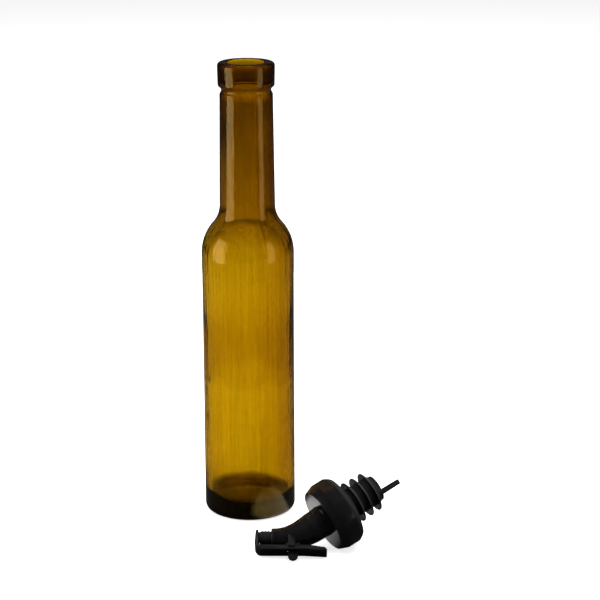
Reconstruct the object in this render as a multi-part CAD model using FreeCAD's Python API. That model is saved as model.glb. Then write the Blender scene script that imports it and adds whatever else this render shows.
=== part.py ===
import FreeCAD, Part
import math
import os

# Amber glass oil bottle with its pouring stopper lying beside it.
# Frame: origin at the centre of the bottle's base, +Z up, millimetres.
# The stopper is drawn in its own frame first (W along the stopper, from the
# collar's face towards the vent, U towards the lever, V across) and is then
# laid on the floor. Its nozzle and lever use a second frame turned by the
# spout's bend: N along the nozzle, L from the nozzle towards the lever, M across.

# ---- bottle ----
HEIGHT = 245.0
BODY_R = 24.5
PANEL_R = 24.38           # label panel, slightly recessed
PANEL_LOW, PANEL_HIGH = 57.0, 132.0
PANEL_STEP = 3.0
NECK_LOW_R = 14.65
NECK_TOP_R = 13.85
LIP_R = 14.93
LIP_LOW_R = 14.7
LIP_HEIGHT = 12.5
LIP_ROUND = 1.8
GROOVE_DEPTH = 0.9
COVE_R = 15.0
SHOULDER_R = 24.0
SHOULDER_START = 144.0
HEEL_R = 3.2
BEARING_IN_R = 16.5
PUNT_DEPTH = 2.6
BORE_R = 9.25
BORE_LENGTH = 20.0
MOUTH_ROUND = 0.7
NECK_IN_R = 10.6
BODY_WALL = 2.6
BASE_THICK = 6.5
INNER_HEEL_R = 7.0
INNER_DOME = 1.2

# ---- pouring stopper: collar and stem ----
FACE_R = 16.7
COLLAR_R = 18.55
BEVEL_LENGTH = 4.7
COLLAR_LENGTH = 11.5
COLLAR_WALL = 1.8
STEM_R = 6.5
STEM_BORE_R = 5.4
STEM_END = 32.2

# ---- spout ----
BEND = 34.77              # degrees between the stopper's axis and the nozzle's
NOZZLE_L = 9.7            # nozzle axis, measured along L from the collar face's centre
BEND_R = 30.0
ROOT_R = 8.2
SPOUT_WALL = 1.6
SLEEVE_R = 4.95
SLEEVE_END = 26.5         # along N
SLEEVE_BORE_R = 3.2
BAND_LOW, BAND_HIGH = 14.0, 17.8
BAND_PROUD = 0.45
EAR_IN, EAR_OUT, EAR_END = 5.0, 5.8, 16.6
LUG_HALF = 1.2
LUG_R = 2.6
LUG_TIP_L = 19.6
FOOT_LOW, FOOT_HIGH, FOOT_HALF, FOOT_L = 11.9, 18.9, 3.3, 15.0

# ---- soft sleeve ----
FLANGE_R = 17.9
FLANGE_END = 13.9
CONE_R, CONE_END = 11.0, 16.2
CORE_R = 7.7
FIN_EDGES = ((19.3, 11.4), (24.6, 11.1), (29.7, 10.9))
FIN_SWEEP = 1.1
FIN_EDGE_THICK = 0.6
FIN_ROOT_THICK = 1.2
SOFT_GAP = 0.1

# ---- end cap and vent ----
CAP_R = 7.05
CAP_END = 34.2
CAP_SPIGOT = 3.6
OIL_HOLE_R, OIL_HOLE_U = 2.2, -1.9
VENT_U = 3.6
VENT_R, VENT_TIP_R, VENT_BORE_R = 1.55, 1.4, 0.8
VENT_START, VENT_END = -4.0, 45.8

# ---- nozzle tip ----
TIP_R, RIB_R, TIP_BORE_R = 3.4, 3.72, 2.2
TIP_END = 32.5
RIB_STARTS = (27.7, 29.2, 30.7)
RIB_LENGTH = 0.7
TIP_SPIGOT = 5.0

# ---- lever ----
LEVER_HALF = 4.7          # over the lip
LEVER_CORE_HALF = 4.45    # under the lip
CHEEK_IN = 3.7
RIM_L, LIP_L, FLOOR_L, BOTTOM_L = 15.55, 17.3, 16.95, 17.8
INNER_CORNER_R, NOSE_R = 1.4, 3.6
WALL_IN, WALL_OUT, WALL_OUT_LOW = 33.2, 34.4, 35.0
TONGUE_R = 4.3
TRAY_REAR = 9.5
TAB_END = -2.2
TAB_TOP_L, TAB_BOTTOM_L = 16.95, 18.45
WINDOW_LOW, WINDOW_HIGH = 12.2, 18.9
WINDOW_SPRING_SIDE, WINDOW_LUG_SIDE = -3.4, 1.5
PIVOT_N, PIVOT_L = 15.3, 16.65
PIN_R, PIN_HALF = 0.6, 4.3
PIN_CLEARANCE = 0.05
PAD_R, PAD_THICK = 3.1, 0.6

# ---- return spring ----
COIL_R, WIRE_R, COIL_PITCH, COIL_START, COIL_LENGTH = 0.95, 0.15, 0.36, -3.04, 1.44
SPRING_LEG = 2.5
SPRING_OPEN = -170.0      # degrees between the two legs

# ---- how the stopper lies on the floor ----
HEADING, TILT, ROLL = 25.30, 21.97, -54.48
FACE_X, FACE_Y = 37.36, -61.52

BEND_RAD = math.radians(BEND)
V = FreeCAD.Vector


def solid_of(shape):
    """The shape as one clean solid."""
    shape = shape.removeSplitter()
    solids = shape.Solids
    return solids[0] if len(solids) == 1 else Part.makeCompound(solids)


def frame_matrix(x_axis, y_axis, z_axis, origin):
    m = FreeCAD.Matrix()
    for column, axis in enumerate((x_axis, y_axis, z_axis, origin)):
        for row, value in enumerate((axis.x, axis.y, axis.z)):
            setattr(m, "A%d%d" % (row + 1, column + 1), value)
    return m


def moved(shape, matrix):
    out = shape.copy()
    out.Placement = FreeCAD.Placement(matrix).multiply(out.Placement)
    return out


def lying_frame():
    """Matrix from the stopper's frame (W, U, V) to the row's frame."""
    heading, tilt, roll = (math.radians(a) for a in (HEADING, TILT, ROLL))
    along = V(math.cos(tilt) * math.cos(heading), math.cos(tilt) * math.sin(heading), math.sin(tilt))
    down = V(math.sin(tilt) * math.cos(heading), math.sin(tilt) * math.sin(heading), -math.cos(tilt))
    side = along.cross(down)
    lever_way = down * math.cos(roll) + side * math.sin(roll)
    across = along.cross(lever_way)
    face_height = FACE_R * math.cos(tilt)      # the collar's front edge touches the floor
    return frame_matrix(along, lever_way, across, V(FACE_X, FACE_Y, face_height))


def nozzle_frame():
    """Matrix from the nozzle's frame (N, L, M) to the stopper's frame (W, U, V)."""
    n = V(-math.cos(BEND_RAD), -math.sin(BEND_RAD), 0)
    l = V(-math.sin(BEND_RAD), math.cos(BEND_RAD), 0)
    return frame_matrix(n, l, n.cross(l), V(0, 0, 0))


TO_FLOOR = lying_frame()
TO_STOPPER = nozzle_frame()


def wire_of(points):
    """Closed wire through 2-D points; a triple (mid, end, 'arc') makes an arc."""
    edges = []
    here = V(*points[0], 0)
    for item in points[1:]:
        if len(item) == 3:
            middle, end = V(*item[0], 0), V(*item[1], 0)
            edges.append(Part.Arc(here, middle, end).toShape())
            here = end
        else:
            end = V(*item, 0)
            edges.append(Part.makeLine(here, end))
            here = end
    start = V(*points[0], 0)
    if here.distanceToPoint(start) > 1e-6:
        edges.append(Part.makeLine(here, start))
    return Part.Wire(edges)


def turned(points):
    """Solid of revolution of an (axial, radius) outline about the X axis."""
    face = Part.Face(wire_of(points))
    return face.revolve(V(0, 0, 0), V(1, 0, 0), 360)


def prism(points, low, high):
    """Outline in the X-Y plane, extruded along Z from low to high."""
    face = Part.Face(wire_of(points))
    face.translate(V(0, 0, low))
    return face.extrude(V(0, 0, high - low))


def rod(radius, low, high, y=0.0):
    """Cylinder along X from low to high, its axis at height y."""
    return Part.makeCylinder(radius, high - low, V(low, y, 0), V(1, 0, 0))


def dome_mid(radius, height, rise):
    """Half-way point of a dome's arc, from its rim at (radius, height) to its top on the axis."""
    sphere = (radius ** 2 + rise ** 2) / (2 * rise)
    half = math.asin(radius / sphere) / 2
    return (sphere * math.sin(half), height + rise - sphere * (1 - math.cos(half)))


def arc_mid(cx, cy, r, start, end):
    """Middle point of an arc given by its centre, radius and end angles in degrees."""
    a = math.radians((start + end) / 2)
    return (cx + r * math.cos(a), cy + r * math.sin(a))


# ---------------------------------------------------------------- bottle
def shoulder(neck_r, body_r, cove_r, shoulder_r, start):
    """Points of the two tangent arcs between body and neck: start, join, end and middles."""
    turn = math.acos(1 - (body_r - neck_r) / (cove_r + shoulder_r))
    half = turn / 2
    join = (body_r - shoulder_r * (1 - math.cos(turn)), start + shoulder_r * math.sin(turn))
    low_mid = (body_r - shoulder_r * (1 - math.cos(half)), start + shoulder_r * math.sin(half))
    top = start + (cove_r + shoulder_r) * math.sin(turn)
    high_mid = (neck_r + cove_r * (1 - math.cos(half)), top - cove_r * math.sin(half))
    return low_mid, join, high_mid, (neck_r, top)


def bottle():
    lip_low = HEIGHT - LIP_HEIGHT
    k = math.sqrt(0.5)
    low_mid, join, high_mid, neck_foot = shoulder(
        NECK_LOW_R, BODY_R, COVE_R, SHOULDER_R, SHOULDER_START)
    inner_r = BODY_R - BODY_WALL
    in_low_mid, in_join, in_high_mid, in_neck_foot = shoulder(
        NECK_IN_R, inner_r, COVE_R + BODY_WALL, SHOULDER_R - BODY_WALL, SHOULDER_START - 1.0)
    outline = [
        (0, PUNT_DEPTH),
        (dome_mid(BEARING_IN_R, 0, PUNT_DEPTH), (BEARING_IN_R, 0), "arc"),
        (BODY_R - HEEL_R, 0),
        ((BODY_R - HEEL_R + HEEL_R * k, HEEL_R - HEEL_R * k), (BODY_R, HEEL_R), "arc"),
        (BODY_R, PANEL_LOW - PANEL_STEP),
        (PANEL_R, PANEL_LOW),
        (PANEL_R, PANEL_HIGH),
        (BODY_R, PANEL_HIGH + PANEL_STEP),
        (BODY_R, SHOULDER_START),
        (low_mid, join, "arc"),
        (high_mid, neck_foot, "arc"),
        (NECK_TOP_R, lip_low - 4.0),
        ((NECK_TOP_R - GROOVE_DEPTH, lip_low - 2.0), (NECK_TOP_R, lip_low - 0.3), "arc"),
        (LIP_LOW_R, lip_low),
        (LIP_R, HEIGHT - 4.0),
        (LIP_R, HEIGHT - LIP_ROUND),
        ((LIP_R - LIP_ROUND + LIP_ROUND * k, HEIGHT - LIP_ROUND + LIP_ROUND * k),
         (LIP_R - LIP_ROUND, HEIGHT), "arc"),
        (BORE_R + MOUTH_ROUND, HEIGHT),
        ((BORE_R + MOUTH_ROUND - MOUTH_ROUND * k, HEIGHT - MOUTH_ROUND + MOUTH_ROUND * k),
         (BORE_R, HEIGHT - MOUTH_ROUND), "arc"),
        (BORE_R, HEIGHT - BORE_LENGTH),
        in_neck_foot,
        (in_high_mid, in_join, "arc"),
        (in_low_mid, (inner_r, SHOULDER_START - 1.0), "arc"),
        (inner_r, BASE_THICK + INNER_HEEL_R),
        ((inner_r - INNER_HEEL_R + INNER_HEEL_R * k, BASE_THICK + INNER_HEEL_R - INNER_HEEL_R * k),
         (inner_r - INNER_HEEL_R, BASE_THICK), "arc"),
        (dome_mid(inner_r - INNER_HEEL_R, BASE_THICK, INNER_DOME), (0, BASE_THICK + INNER_DOME), "arc"),
    ]
    face = Part.Face(wire_of(outline))
    face.rotate(V(0, 0, 0), V(1, 0, 0), 90)
    return face.revolve(V(0, 0, 0), V(0, 0, 1), 360)


# ---------------------------------------------------------------- spout
def spout_stations():
    """Centre, direction and outer radius of the spout's sections, in the stopper's frame."""
    tangent = BEND_R * math.tan(BEND_RAD / 2)
    corner_n = NOZZLE_L / math.tan(BEND_RAD)
    corner_w = -corner_n * math.cos(BEND_RAD) - NOZZLE_L * math.sin(BEND_RAD)
    start_w = corner_w + tangent
    end_n = corner_n + tangent
    stations = [(V(2.0, 0, 0), 0.0, ROOT_R),
                (V(-2.5, 0, 0), 0.0, ROOT_R - 0.1),
                (V(start_w, 0, 0), 0.0, ROOT_R - 0.3)]
    for share, radius in ((0.25, 7.3), (0.5, 6.45), (0.75, 5.6), (1.0, 5.05)):
        a = BEND_RAD * share
        centre = V(start_w - BEND_R * math.sin(a), -BEND_R * (1 - math.cos(a)), 0)
        stations.append((centre, a, radius))
    for n, radius in ((end_n + 2.0, SLEEVE_R + 0.02), (SLEEVE_END, SLEEVE_R)):
        stations.append((TO_STOPPER.multVec(V(n, NOZZLE_L, 0)), BEND_RAD, radius))
    return stations


def spout_loft(grow, largest=COLLAR_R):
    """The spout's taper as a solid, its radius changed by grow and kept under largest."""
    wires = []
    for centre, angle, radius in spout_stations():
        direction = V(-math.cos(angle), -math.sin(angle), 0)
        circle = Part.Circle(centre, direction, min(radius + grow, largest))
        wires.append(Part.Wire([circle.toShape()]))
    return Part.makeLoft(wires, True, False)


def in_stopper(shape):
    return moved(shape, TO_STOPPER)


def collar():
    inner_r = COLLAR_R - COLLAR_WALL
    shell = turned([(0, 0), (0, FACE_R), (BEVEL_LENGTH, COLLAR_R), (COLLAR_LENGTH, COLLAR_R),
                    (COLLAR_LENGTH, inner_r), (BEVEL_LENGTH, inner_r),
                    (COLLAR_WALL, FACE_R - COLLAR_WALL), (COLLAR_WALL, 0)])
    stem = rod(STEM_R, 0.5, STEM_END)
    return shell.fuse(stem)


def hinge_band():
    """Raised band round the spout with a guide ear each side and the pivot lug on its foot between."""
    width = BAND_HIGH - BAND_LOW
    block = Part.makeBox(width, 24, 20, V(BAND_LOW, -6, -10))
    band = spout_loft(BAND_PROUD).common(in_stopper(block))
    ears = []
    for side in (-1, 1):
        low = EAR_IN if side > 0 else -EAR_OUT
        ear = Part.makeBox(width, EAR_END - NOZZLE_L, EAR_OUT - EAR_IN, V(BAND_LOW, NOZZLE_L, low))
        ears.append(in_stopper(ear))
    stalk = Part.makeBox(2 * LUG_R, LUG_TIP_L - NOZZLE_L, 2 * LUG_HALF,
                         V(PIVOT_N - LUG_R, NOZZLE_L, -LUG_HALF))
    tip = Part.makeCylinder(LUG_R, 2 * LUG_HALF, V(PIVOT_N, LUG_TIP_L, -LUG_HALF))
    foot = Part.makeBox(FOOT_HIGH - FOOT_LOW, FOOT_L - NOZZLE_L, 2 * FOOT_HALF,
                        V(FOOT_LOW, NOZZLE_L, -FOOT_HALF))
    lug = in_stopper(stalk.fuse([tip, foot]))
    return band.fuse([*ears, lug])


def spout_body():
    body = collar().fuse([spout_loft(0.0), hinge_band()])
    channel = spout_loft(-SPOUT_WALL, STEM_BORE_R)
    bore = in_stopper(rod(SLEEVE_BORE_R, SLEEVE_END - TIP_SPIGOT - 1.0, SLEEVE_END + 1.0, NOZZLE_L))
    stem_bore = rod(STEM_BORE_R, 0.0, STEM_END + 1.0)
    pin_hole = in_stopper(Part.makeCylinder(
        PIN_R + PIN_CLEARANCE, 4 * LUG_HALF, V(PIVOT_N, PIVOT_L, -2 * LUG_HALF)))
    return body.cut(channel.fuse([bore, stem_bore])).cut(pin_hole)


# ---------------------------------------------------------------- soft sleeve, cap, vent
def stopper_sleeve():
    bore_r = STEM_R + SOFT_GAP
    register_r = COLLAR_R - COLLAR_WALL - SOFT_GAP
    outline = [
        (COLLAR_LENGTH, bore_r), (COLLAR_LENGTH, register_r - 2.0),
        (COLLAR_LENGTH - 1.5, register_r - 2.0), (COLLAR_LENGTH - 1.5, register_r),
        (COLLAR_LENGTH, register_r), (COLLAR_LENGTH, FLANGE_R - 0.3),
        ((COLLAR_LENGTH + 1.2, FLANGE_R), (FLANGE_END, FLANGE_R - 0.9), "arc"),
        (CONE_END, CONE_R), (CONE_END + 0.6, CORE_R),
        (STEM_END, CORE_R), (STEM_END, bore_r)]
    sleeve = turned(outline)
    fins = []
    for edge, radius in FIN_EDGES:
        root = edge + FIN_SWEEP
        fins.append(turned([
            (root - FIN_ROOT_THICK / 2, CORE_R - 0.3), (edge - FIN_EDGE_THICK / 2, radius - 0.25),
            ((edge, radius), (edge + FIN_EDGE_THICK / 2, radius - 0.15), "arc"),
            (root + FIN_ROOT_THICK / 2, CORE_R - 0.3)]))
    return sleeve.fuse(fins)


def end_cap():
    cap = rod(CAP_R, STEM_END, CAP_END).fuse(rod(STEM_BORE_R - 0.05, STEM_END - CAP_SPIGOT, STEM_END))
    holes = rod(VENT_R, STEM_END - CAP_SPIGOT - 1, CAP_END + 1, VENT_U)
    oil = rod(OIL_HOLE_R, STEM_END - CAP_SPIGOT - 1, CAP_END + 1, OIL_HOLE_U)
    cap = cap.cut(holes.fuse(oil))
    outer = [e for e in cap.Edges if abs(e.BoundBox.XMin - CAP_END) < 1e-6
             and e.BoundBox.YLength > 2 * CAP_R - 0.1]
    return cap.makeFillet(0.4, outer)


def vent_tube():
    straight = rod(VENT_R, VENT_START, CAP_END, VENT_U)
    taper = Part.makeCone(VENT_R, VENT_TIP_R, VENT_END - CAP_END, V(CAP_END, VENT_U, 0), V(1, 0, 0))
    bore = rod(VENT_BORE_R, VENT_START - 1, VENT_END + 1, VENT_U)
    return straight.fuse(taper).cut(bore)


def nozzle_tip():
    start = SLEEVE_END - TIP_SPIGOT
    outline = [(start, TIP_BORE_R), (start, SLEEVE_BORE_R - 0.05), (SLEEVE_END, SLEEVE_BORE_R - 0.05),
               (SLEEVE_END, TIP_R), (TIP_END - 0.7, TIP_R), (TIP_END, TIP_R - 0.35),
               (TIP_END, TIP_BORE_R + 0.3), (TIP_END - 0.6, TIP_BORE_R)]
    tip = turned(outline)
    for rib in RIB_STARTS:
        slope = 0.15
        tip = tip.fuse(turned([(rib, TIP_R - 0.2), (rib + slope, RIB_R),
                               (rib + RIB_LENGTH - slope, RIB_R), (rib + RIB_LENGTH, TIP_R - 0.2)]))
    tip.translate(V(0, NOZZLE_L, 0))
    return in_stopper(tip)


# ---------------------------------------------------------------- lever
def lever():
    corner, front_r = INNER_CORNER_R, NOSE_R
    wall_top = NOZZLE_L - TONGUE_R
    core = [
        (TAB_END + 1.0, TAB_TOP_L), (TRAY_REAR - 2.0, RIM_L + 0.05), (WALL_IN - corner, RIM_L),
        (arc_mid(WALL_IN - corner, RIM_L - corner, corner, 90, 0), (WALL_IN, RIM_L - corner), "arc"),
        (WALL_IN, wall_top), (WALL_OUT, wall_top), (WALL_OUT_LOW, BOTTOM_L - front_r),
        (arc_mid(WALL_OUT_LOW - front_r, BOTTOM_L - front_r, front_r, 0, 90),
         (WALL_OUT_LOW - front_r, BOTTOM_L), "arc"),
        (TRAY_REAR, BOTTOM_L), (TAB_END + 0.4, TAB_BOTTOM_L), (TAB_END, TAB_BOTTOM_L - 0.5)]
    lip = [
        (TAB_END + 1.0, TAB_TOP_L), (TRAY_REAR - 2.0, RIM_L + 0.05), (WALL_IN - corner, RIM_L),
        (arc_mid(WALL_IN - corner, RIM_L - corner, corner, 90, 0), (WALL_IN, RIM_L - corner), "arc"),
        (WALL_IN, wall_top), (WALL_OUT, wall_top), (WALL_OUT_LOW - 0.1, RIM_L - corner),
        (arc_mid(WALL_IN - corner, RIM_L - corner, LIP_L - RIM_L + corner, 0, 90),
         (WALL_IN - corner, LIP_L), "arc"),
        (TRAY_REAR, LIP_L), (TAB_END + 0.6, TAB_TOP_L + 1.0)]
    tray = prism(core, -LEVER_CORE_HALF, LEVER_CORE_HALF).fuse(prism(lip, -LEVER_HALF, LEVER_HALF))
    cavity = Part.makeBox(WALL_IN - TRAY_REAR, FLOOR_L - RIM_L + 2.0, 2 * CHEEK_IN,
                          V(TRAY_REAR, RIM_L - 2.0, -CHEEK_IN))
    window = Part.makeBox(WINDOW_HIGH - WINDOW_LOW, 4.0, WINDOW_LUG_SIDE - WINDOW_SPRING_SIDE,
                          V(WINDOW_LOW, FLOOR_L - 1.0, WINDOW_SPRING_SIDE))
    pin_hole = Part.makeCylinder(PIN_R, 2 * PIN_HALF, V(PIVOT_N, PIVOT_L, -PIN_HALF))
    corners = Part.makeBox(4, NOZZLE_L - wall_top + 1, 4 * TONGUE_R,
                           V(WALL_IN - 1, wall_top - 1, -2 * TONGUE_R))
    tongue = rod(TONGUE_R, WALL_IN - 2, WALL_IN + 4, NOZZLE_L)
    tray = tray.cut([cavity, window, pin_hole, corners.cut(tongue)])
    return in_stopper(tray)


def lever_pin():
    return in_stopper(Part.makeCylinder(PIN_R, 2 * PIN_HALF, V(PIVOT_N, PIVOT_L, -PIN_HALF)))


def closing_pad():
    pad = rod(PAD_R, WALL_IN - PAD_THICK, WALL_IN, NOZZLE_L)
    return in_stopper(pad)


def return_spring():
    """Torsion spring round the pin, both legs pointing to the thumb tab."""
    helix = Part.makeHelix(COIL_PITCH, COIL_LENGTH, COIL_R)
    wire_end = Part.Wire([Part.Circle(V(COIL_R, 0, 0), V(0, 1, 0), WIRE_R).toShape()])
    coil = Part.Wire(helix).makePipeShell([wire_end], True, True)
    low_leg = Part.makeCylinder(WIRE_R, SPRING_LEG, V(COIL_R, 0, 0), V(0, -1, 0))
    high_leg = Part.makeCylinder(WIRE_R, SPRING_LEG, V(COIL_R, 0, COIL_LENGTH), V(0, -1, 0))
    high_leg.rotate(V(0, 0, 0), V(0, 0, 1), SPRING_OPEN)
    spring = coil.fuse([low_leg, high_leg])
    spring.rotate(V(0, 0, 0), V(0, 0, 1), 90)
    spring.translate(V(PIVOT_N, PIVOT_L, COIL_START))
    return in_stopper(spring)


def main():
    os.makedirs("parts", exist_ok=True)
    on_floor = {
        "spout_body": spout_body, "stopper_sleeve": stopper_sleeve, "end_cap": end_cap,
        "vent_tube": vent_tube, "nozzle_tip": nozzle_tip, "lever": lever,
        "lever_pin": lever_pin, "closing_pad": closing_pad, "return_spring": return_spring}
    nodes = {"bottle": solid_of(bottle())}
    for name, make in on_floor.items():
        nodes[name] = moved(solid_of(make()), TO_FLOOR)
    for name, shape in nodes.items():
        shape.exportStep("parts/%s.step" % name)


main()
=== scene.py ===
import math

import bmesh
import bpy
from mathutils import Matrix, Vector, noise


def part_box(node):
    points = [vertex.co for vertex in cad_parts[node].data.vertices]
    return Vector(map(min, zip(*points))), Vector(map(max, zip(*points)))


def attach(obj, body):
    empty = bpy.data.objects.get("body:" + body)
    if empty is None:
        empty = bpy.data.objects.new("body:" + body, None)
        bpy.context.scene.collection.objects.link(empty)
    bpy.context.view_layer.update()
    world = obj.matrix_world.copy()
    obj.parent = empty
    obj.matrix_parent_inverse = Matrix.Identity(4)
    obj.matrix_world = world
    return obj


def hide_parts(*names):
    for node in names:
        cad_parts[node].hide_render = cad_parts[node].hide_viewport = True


# An amber glass oil bottle with its black lever pourer lying beside it.
# Pieces are drawn in millimetres and placed in metres.

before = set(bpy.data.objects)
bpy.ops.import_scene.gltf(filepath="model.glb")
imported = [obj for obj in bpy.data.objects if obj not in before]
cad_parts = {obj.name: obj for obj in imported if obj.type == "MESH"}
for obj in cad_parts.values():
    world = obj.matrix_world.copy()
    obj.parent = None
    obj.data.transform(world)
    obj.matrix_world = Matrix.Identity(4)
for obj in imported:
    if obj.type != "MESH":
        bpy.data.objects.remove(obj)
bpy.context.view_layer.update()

MM = 0.001
WHITE = (1.0, 1.0, 1.0, 1.0)

# ---- where things are: the bottle's size from the imported model, the pourer's pose as given numbers ----
BOTTLE_LOW, BOTTLE_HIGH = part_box("bottle")
HEIGHT = (BOTTLE_HIGH.z - BOTTLE_LOW.z) / MM
BODY_R = (BOTTLE_HIGH.x - BOTTLE_LOW.x) / 2 / MM
HEADING, TILT, ROLL = (math.radians(a) for a in (25.30, 21.97, -54.48))
BEND = math.radians(34.77)
FACE_R, COLLAR_R, COLLAR_LENGTH, BEVEL_LENGTH = 16.7, 18.55, 11.5, 4.7
FACE_X, FACE_Y = 37.36, -61.52


def axes_matrix(x_axis, y_axis, z_axis, origin):
    """Matrix that puts millimetre points drawn on these three axes into the frame, in metres."""
    m = Matrix((x_axis, y_axis, z_axis)).transposed().to_4x4()
    m.translation = origin
    return Matrix.Scale(MM, 4) @ m


def pourer_axes():
    """Matrices of the stopper (Z along it, X towards the lever) and of its nozzle (Z out along it)."""
    heading_cos, heading_sin = math.cos(HEADING), math.sin(HEADING)
    along = Vector((math.cos(TILT) * heading_cos, math.cos(TILT) * heading_sin, math.sin(TILT)))
    down = Vector((math.sin(TILT) * heading_cos, math.sin(TILT) * heading_sin, -math.cos(TILT)))
    lever_way = down * math.cos(ROLL) + along.cross(down) * math.sin(ROLL)
    origin = Vector((FACE_X, FACE_Y, FACE_R * math.cos(TILT)))
    stopper = axes_matrix(lever_way, along.cross(lever_way), along, origin)
    out = -along * math.cos(BEND) - lever_way * math.sin(BEND)
    side = -along * math.sin(BEND) + lever_way * math.cos(BEND)
    return stopper, axes_matrix(side, out.cross(side), out, origin)


ON_BOTTLE = Matrix.Scale(MM, 4)
ON_STOPPER, ON_NOZZLE = pourer_axes()


# ---------------------------------------------------------------- outlines
def arc(cx, cy, radius, start, end, steps):
    """Points of an arc, angles in degrees, both ends included."""
    out = []
    for i in range(steps + 1):
        a = math.radians(start + (end - start) * i / steps)
        out.append((cx + radius * math.cos(a), cy + radius * math.sin(a)))
    return out


def run(a, b, steps):
    """Points from a to b, without a itself."""
    return [(a[0] + (b[0] - a[0]) * i / steps, a[1] + (b[1] - a[1]) * i / steps)
            for i in range(1, steps + 1)]


def rounded(points, radii, steps=5):
    """Closed outline with each corner rounded by its own radius."""
    out = []
    count = len(points)
    for i, radius in enumerate(radii):
        here = Vector(points[i])
        before = (Vector(points[i - 1]) - here).normalized()
        after = (Vector(points[(i + 1) % count]) - here).normalized()
        half = math.acos(max(-1.0, min(1.0, before.dot(after)))) / 2
        if radius <= 0 or half > math.radians(89):
            out.append(tuple(here))
            continue
        reach = radius / math.tan(half)
        middle = here + (before + after).normalized() * (radius / math.sin(half))
        first, last = here + before * reach - middle, here + after * reach - middle
        for k in range(steps + 1):
            spoke = first.lerp(last, k / steps).normalized() * radius
            out.append(tuple(middle + spoke))
    return out


# ---------------------------------------------------------------- meshes
POLE_R = 1e-6
ROD_STEPS = 64
BEVEL_ANGLE, BEVEL_STEPS = math.radians(38), 3


def new_mesh(name, bm, recalc=True):
    """A mesh from bm, which is freed, with its faces turned outwards."""
    if recalc:
        bmesh.ops.recalc_face_normals(bm, faces=bm.faces)
    mesh = bpy.data.meshes.new(name)
    bm.to_mesh(mesh)
    bm.free()
    return mesh


def bridge(bm, rings, closed):
    """Quads between rings of vertices; a ring of one vertex is a pole."""
    pairs = list(zip(rings, rings[1:]))
    if closed:
        pairs.append((rings[-1], rings[0]))
    for low, high in pairs:
        count = max(len(low), len(high))
        for i in range(count):
            j = (i + 1) % count
            corners = [low[i % len(low)], low[j % len(low)], high[j % len(high)], high[i % len(high)]]
            face = list(dict.fromkeys(corners))
            if len(face) > 2:
                bm.faces.new(face)


def turned(name, outline, steps, closed=True, shift=None):
    """Mesh of (along Z, radius) points turned about Z; shift(angle, z, r, index) is added to a radius."""
    bm = bmesh.new()
    rings = []
    for index, (z, r) in enumerate(outline):
        if r < POLE_R:
            rings.append([bm.verts.new((0, 0, z))])
            continue
        ring = []
        for k in range(steps):
            a = 2 * math.pi * k / steps
            radius = r if shift is None else r + shift(a, z, r, index)
            ring.append(bm.verts.new((radius * math.cos(a), radius * math.sin(a), z)))
        rings.append(ring)
    bridge(bm, rings, closed)
    return new_mesh(name, bm)


def swept(name, stations, steps):
    """Closed tube wall through stations of (centre, direction angle, outer radius, inner radius)."""
    bm = bmesh.new()
    walls = []
    for pick in (2, 3):
        rings = []
        for station in stations:
            centre, angle = station[:2]
            radius = station[pick]
            across = Vector((math.cos(angle), 0, -math.sin(angle)))
            ring = []
            for k in range(steps):
                a = 2 * math.pi * k / steps
                ring.append(bm.verts.new(
                    centre + across * (radius * math.cos(a)) + Vector((0, radius * math.sin(a), 0))))
            rings.append(ring)
        walls.append(rings)
    bridge(bm, walls[0] + walls[1][::-1], True)
    return new_mesh(name, bm)


def prism(name, outline, low, high):
    """Outline of (Z, X) points, extruded along Y from low to high."""
    bm = bmesh.new()
    rings = [[bm.verts.new((x, y, z)) for z, x in outline] for y in (low, high)]
    bridge(bm, rings, False)
    for ring in rings:
        bm.faces.new(ring)
    return new_mesh(name, bm)


def block(name, low, high):
    """Box between two corners, given as (X, Y, Z)."""
    outline = [(low[2], low[0]), (high[2], low[0]), (high[2], high[0]), (low[2], high[0])]
    return prism(name, outline, low[1], high[1])


def rod(name, radius, low, high, centre):
    """Round rod along Z between two heights."""
    mesh = turned(name, [(low, 0), (low, radius), (high, radius), (high, 0)], ROD_STEPS, closed=False)
    mesh.transform(Matrix.Translation((*centre, 0)))
    return mesh


def plain_mesh(obj):
    """The evaluated object as a mesh of its own; the object is removed."""
    graph = bpy.context.evaluated_depsgraph_get()
    mesh = bpy.data.meshes.new_from_object(obj.evaluated_get(graph))
    bpy.data.objects.remove(obj)
    return mesh


def new_object(name, mesh):
    obj = bpy.data.objects.new(name, mesh)
    bpy.context.scene.collection.objects.link(obj)
    return obj


def carved(mesh, *steps):
    """mesh after steps of ("UNION" or "DIFFERENCE", other mesh)."""
    obj = new_object(mesh.name, mesh)
    tools = []
    for operation, other in steps:
        tool = new_object(other.name, other)
        tools.append(tool)
        cut = obj.modifiers.new(operation, "BOOLEAN")
        cut.operation = operation
        cut.solver = "EXACT"
        cut.object = tool
    out = plain_mesh(obj)
    for tool in tools:
        bpy.data.objects.remove(tool)
    out.name = mesh.name
    return out


def softened(mesh, width):
    """mesh with its sharp edges rounded over."""
    obj = new_object(mesh.name, mesh)
    bevel = obj.modifiers.new("rounded edges", "BEVEL")
    bevel.width = width
    bevel.segments = BEVEL_STEPS
    bevel.limit_method = "ANGLE"
    bevel.angle_limit = BEVEL_ANGLE
    return plain_mesh(obj)


def mark_edges(mesh, reach):
    """Writes how much each vertex stands on an outer edge, from 0 to 1, to the attribute edge."""
    bm = bmesh.new()
    bm.from_mesh(mesh)
    values = []
    for v in bm.verts:
        turn = sum(e.calc_face_angle_signed(0.0) for e in v.link_edges if len(e.link_faces) == 2)
        values.append(max(0.0, min(1.0, turn / reach)))
    bm.free()
    attribute = mesh.attributes.new("edge", "FLOAT", "POINT")
    attribute.data.foreach_set("value", values)


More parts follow.
